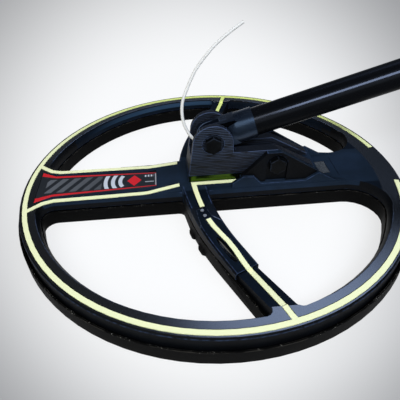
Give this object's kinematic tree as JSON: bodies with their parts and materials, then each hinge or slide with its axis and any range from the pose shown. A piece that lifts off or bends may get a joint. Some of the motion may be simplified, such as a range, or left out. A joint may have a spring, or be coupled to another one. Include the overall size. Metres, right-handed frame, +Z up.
{
  "type": "metal detector search head",
  "caption": "Round open-spoked search coil of a metal detector with a clevis bracket, a tilting lower stem, snap buttons and a stiff wire aerial.",
  "frame": {"origin": "middle of the coil's underside, on the ground", "axes": "+Z up, +X along the stem in plan, towards its top end, +Y to the side with no charging module"},
  "size_m": [0.6045, 0.28, 0.1982],
  "materials": {
    "shell": "satin moulded, near-black with a blue cast",
    "skid": "fine grain, charcoal",
    "stripe": "smooth, pale yellow-green",
    "label": "printed film, dark grey with red edge lines",
    "patch": "rough, grey",
    "printed": "level layer lines, navy-charcoal",
    "bolt": "black nylon",
    "rubber": "dull black",
    "wire": "white insulation",
    "tube": "gloss black composite",
    "metal": "bright",
    "copper": "enamelled winding wire",
    "board": "green board",
    "cell": "wrapped cell"
  },
  "bodies": {
    "coil": {"coil_housing": "shell", "module_cover": "shell", "skid_plate": "skid", "coil_base": "skid", "rim_stripe": "stripe", "front_stripe_near": "stripe", "front_stripe_far": "stripe", "hub_stripe_near": "stripe", "hub_stripe_far": "stripe", "module_stripe_near": "stripe", "module_stripe_far": "stripe", "leg_stripe_near": "stripe", "leg_stripe_far": "stripe", "tab_stripe_near": "stripe", "tab_stripe_far": "stripe", "label_panel": "label", "rear_patch": "patch", "bracket": "printed", "pivot_bolt": "bolt", "pivot_nut": "bolt", "bracket_bolt": "bolt", "bracket_nut": "bolt", "pivot_washer_near": "rubber", "pivot_washer_far": "rubber", "wire_gland": "rubber", "antenna_wire": "wire", "charge_contact_inner": "metal", "charge_contact_outer": "metal", "shield_can": "metal", "transmit_winding": "copper", "receive_winding": "copper", "circuit_board": "board", "battery_cell": "cell"},
    "stem": {"stem_fork": "shell", "stem_tube": "tube", "button_spring": "metal"},
    "button_left": {"snap_button_left": "metal"},
    "button_right": {"snap_button_right": "metal"}
  },
  "joints": [
    {"name": "stem_tilt", "type": "hinge", "parent": "coil", "child": "stem", "pos_m": [0.0013, 0, 0.0535], "axis": [0, -1, 0], "range_deg": [-5, 75]},
    {"name": "button_left_press", "type": "slide", "parent": "stem", "child": "button_left", "axis": [0, -1, 0], "range_m": [0, 0.0038], "stiffness_N_per_m": 1500, "springref_m": -0.002, "deforming": ["button_spring"]},
    {"name": "button_right_press", "type": "slide", "parent": "stem", "child": "button_right", "axis": [0, 1, 0], "range_m": [0, 0.0038], "stiffness_N_per_m": 1500, "springref_m": -0.002, "deforming": ["button_spring"]}
  ]
}
